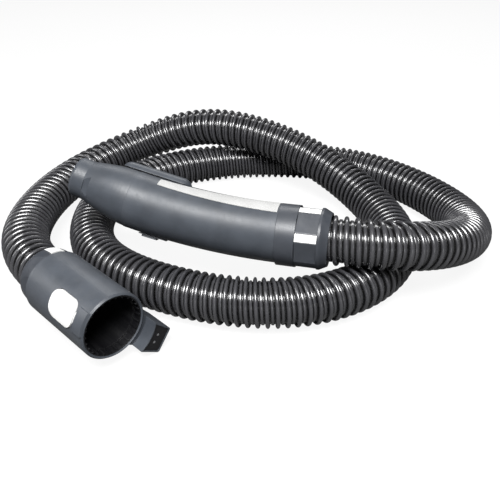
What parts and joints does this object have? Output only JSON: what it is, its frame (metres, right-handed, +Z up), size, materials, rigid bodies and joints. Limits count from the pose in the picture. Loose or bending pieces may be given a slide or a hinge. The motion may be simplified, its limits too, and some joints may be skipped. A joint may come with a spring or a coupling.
{
  "type": "electrified vacuum cleaner hose",
  "caption": "Coiled corrugated suction hose with a plug-in swivel cuff at one end and a bent swivel handle at the other.",
  "frame": {"origin": "on the floor, in the middle of the coil", "axes": "+Z up, +Y away from the side that the machine cuff and the handle lie on, +X to the right when looking along +Y"},
  "size_m": [0.4932, 0.404, 0.1165],
  "materials": {
    "hose_black": "semi-gloss corrugated plastic",
    "slate_grey": "satin moulded plastic",
    "collar_grey": "satin moulded plastic",
    "white_plastic": "smooth",
    "grip_white": "knurled soft pad",
    "black_plastic": "dark moulded plastic",
    "brass": "machined",
    "steel": "plain",
    "rubber_black": "matte",
    "wire_red": "insulated lead"
  },
  "bodies": {
    "hose_coil": {"hose_coil": "hose_black", "hose_flex_handle": "hose_black", "hose_flex_machine": "hose_black"},
    "handle_lead": {"hose_handle_lead": "hose_black", "handle_collar": "collar_grey", "handle_collar_pads": "white_plastic", "handle_hose_fitting": "black_plastic", "handle_slip_rings": "brass", "handle_swivel_seal": "rubber_black"},
    "handle": {"handle_retaining_nut": "collar_grey", "grip_shell_left": "slate_grey", "grip_shell_right": "slate_grey", "grip_strip": "grip_white", "grip_neck": "black_plastic", "air_duct": "black_plastic", "wand_spigot": "slate_grey", "connector_housing": "slate_grey", "connector_sockets": "brass", "connector_screws": "steel", "handle_brushes": "steel", "handle_wires": "wire_red"},
    "suction_slider": {"suction_slider": "slate_grey"},
    "machine_lead": {"hose_machine_lead": "hose_black", "machine_collar": "collar_grey", "machine_collar_pads": "white_plastic", "machine_hose_fitting": "black_plastic", "machine_slip_rings": "brass", "machine_swivel_seal": "rubber_black"},
    "machine_cuff": {"cuff_retaining_ring": "black_plastic", "machine_cuff": "slate_grey", "inlet_liner": "black_plastic", "inlet_seal": "rubber_black", "plug_housing": "slate_grey", "plug_insulator": "black_plastic", "plug_pins": "steel", "plug_screws": "steel", "machine_brushes": "steel", "machine_wires": "wire_red", "button_pin": "steel", "button_spring": "steel"},
    "release_button": {"release_button": "white_plastic"}
  },
  "joints": [
    {"name": "handle_lift", "type": "hinge", "parent": "hose_coil", "child": "handle_lead", "pos_m": [0.19278, -0.06599, 0.04463], "axis": [-0.7029, 0.7112, 0], "range_deg": [0, 60], "deforming": ["hose_flex_handle"]},
    {"name": "handle_swivel", "type": "hinge", "parent": "handle_lead", "child": "handle", "pos_m": [0.0433, -0.09019, 0.06611], "axis": [-0.968, 0.2503, -0.0175], "range_deg": [-60, 90]},
    {"name": "suction_slide", "type": "slide", "parent": "handle", "child": "suction_slider", "axis": [0.9506, -0.2458, -0.1895], "range_m": [0, 0.01]},
    {"name": "machine_end_lift", "type": "hinge", "parent": "hose_coil", "child": "machine_lead", "pos_m": [-0.22424, 0.03741, 0.03141], "axis": [-0.9983, 0.0588, 0], "range_deg": [0, 35], "deforming": ["hose_flex_machine"]},
    {"name": "machine_swivel", "type": "hinge", "parent": "machine_lead", "child": "machine_cuff", "pos_m": [-0.165, -0.1238, 0.0409], "axis": [0.7193, -0.6946, -0.0105], "continuous": true},
    {"name": "release_button_press", "type": "hinge", "parent": "machine_cuff", "child": "release_button", "pos_m": [-0.12824, -0.19031, 0.05408], "axis": [-0.3745, -0.375, -0.848], "range_deg": [0, 3], "stiffness_Nm_per_rad": 2, "deforming": ["button_spring"]}
  ]
}
